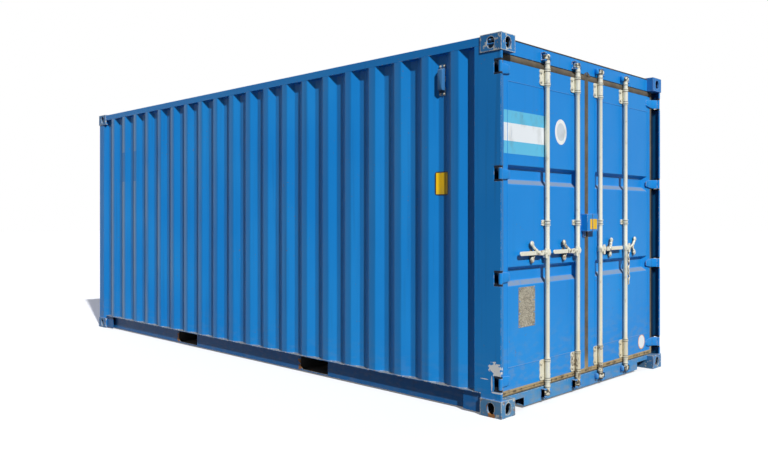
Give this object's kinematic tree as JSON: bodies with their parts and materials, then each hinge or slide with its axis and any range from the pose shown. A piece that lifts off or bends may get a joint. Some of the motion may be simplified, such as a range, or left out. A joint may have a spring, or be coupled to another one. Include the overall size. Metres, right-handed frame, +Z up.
{
  "type": "shipping container",
  "caption": "Blue steel freight container with corrugated walls, corner castings, fork pockets and two hinged end doors with turning lock bars and lifting handles.",
  "frame": {"origin": "on the ground, under the middle of the container", "axes": "+X towards the doors along the length, +Y across to the right-hand door, +Z up"},
  "size_m": [6.058, 2.438, 2.591],
  "materials": {
    "blue_paint": "weathered satin paint",
    "galvanised_steel": "dull galvanised",
    "seal_rubber": "dusty",
    "floor_plywood": "worn, oiled",
    "underframe_paint": "matt underseal",
    "plate_alloy": "dull"
  },
  "bodies": {
    "container_box": {"bottom_corner_castings": "blue_paint", "cam_keepers": "blue_paint", "cross_members": "underframe_paint", "door_header": "blue_paint", "door_sill": "blue_paint", "floor_boards": "floor_plywood", "fork_pockets": "underframe_paint", "front_bottom_rail": "blue_paint", "front_top_rail": "blue_paint", "front_wall": "blue_paint", "left_bottom_rail": "blue_paint", "left_front_post": "blue_paint", "left_hinge_lugs": "blue_paint", "left_rear_post": "blue_paint", "left_side_wall": "blue_paint", "left_top_rail": "blue_paint", "right_bottom_rail": "blue_paint", "right_front_post": "blue_paint", "right_hinge_lugs": "blue_paint", "right_rear_post": "blue_paint", "right_side_wall": "blue_paint", "right_top_rail": "blue_paint", "roof_panel": "blue_paint", "side_vents": "blue_paint", "top_corner_castings": "blue_paint"},
    "left_door": {"data_plate": "plate_alloy", "left_bar_brackets": "galvanised_steel", "left_door_gasket": "seal_rubber", "left_door_panel": "blue_paint", "left_door_rails": "blue_paint", "left_door_stiles": "blue_paint", "left_handle_catches": "galvanised_steel", "left_hinge_blades": "blue_paint", "left_lock_box_half": "blue_paint"},
    "left_inner_lock_bar": {"left_inner_bar": "galvanised_steel"},
    "left_inner_lever": {"left_inner_handle": "galvanised_steel"},
    "left_outer_lock_bar": {"left_outer_bar": "galvanised_steel"},
    "left_outer_lever": {"left_outer_handle": "galvanised_steel"},
    "right_door": {"right_bar_brackets": "galvanised_steel", "right_door_gasket": "seal_rubber", "right_door_panel": "blue_paint", "right_door_rails": "blue_paint", "right_door_stiles": "blue_paint", "right_handle_catches": "galvanised_steel", "right_hinge_blades": "blue_paint", "right_lock_box_half": "blue_paint"},
    "right_inner_lock_bar": {"right_inner_bar": "galvanised_steel"},
    "right_inner_lever": {"right_inner_handle": "galvanised_steel"},
    "right_outer_lock_bar": {"right_outer_bar": "galvanised_steel"},
    "right_outer_lever": {"right_outer_handle": "galvanised_steel"}
  },
  "joints": [
    {"name": "left_door_swing", "type": "hinge", "parent": "container_box", "child": "left_door", "pos_m": [3.009, -1.199, 1.3], "axis": [0, 0, -1], "range_deg": [0, 265]},
    {"name": "right_door_swing", "type": "hinge", "parent": "container_box", "child": "right_door", "pos_m": [3.009, 1.199, 1.3], "axis": [0, 0, 1], "range_deg": [0, 265]},
    {"name": "left_outer_bar_turn", "type": "hinge", "parent": "left_door", "child": "left_outer_lock_bar", "pos_m": [2.995, -0.603, 1.095], "axis": [0, 0, -1], "range_deg": [-100, 0]},
    {"name": "left_inner_bar_turn", "type": "hinge", "parent": "left_door", "child": "left_inner_lock_bar", "pos_m": [2.995, -0.175, 1.095], "axis": [0, 0, -1], "range_deg": [-100, 0]},
    {"name": "right_outer_bar_turn", "type": "hinge", "parent": "right_door", "child": "right_outer_lock_bar", "pos_m": [2.995, 0.603, 1.095], "axis": [0, 0, 1], "range_deg": [-100, 0]},
    {"name": "right_inner_bar_turn", "type": "hinge", "parent": "right_door", "child": "right_inner_lock_bar", "pos_m": [2.995, 0.175, 1.095], "axis": [0, 0, 1], "range_deg": [-100, 0]},
    {"name": "left_outer_handle_lift", "type": "hinge", "parent": "left_outer_lock_bar", "child": "left_outer_lever", "pos_m": [3.003, -0.643, 1.095], "axis": [1, 0, 0], "range_deg": [-30, 0]},
    {"name": "left_inner_handle_lift", "type": "hinge", "parent": "left_inner_lock_bar", "child": "left_inner_lever", "pos_m": [3.003, -0.215, 1.095], "axis": [1, 0, 0], "range_deg": [-30, 0]},
    {"name": "right_outer_handle_lift", "type": "hinge", "parent": "right_outer_lock_bar", "child": "right_outer_lever", "pos_m": [3.003, 0.643, 1.095], "axis": [-1, 0, 0], "range_deg": [-120, 0]},
    {"name": "right_inner_handle_lift", "type": "hinge", "parent": "right_inner_lock_bar", "child": "right_inner_lever", "pos_m": [3.003, 0.215, 1.095], "axis": [-1, 0, 0], "range_deg": [-30, 0]}
  ]
}
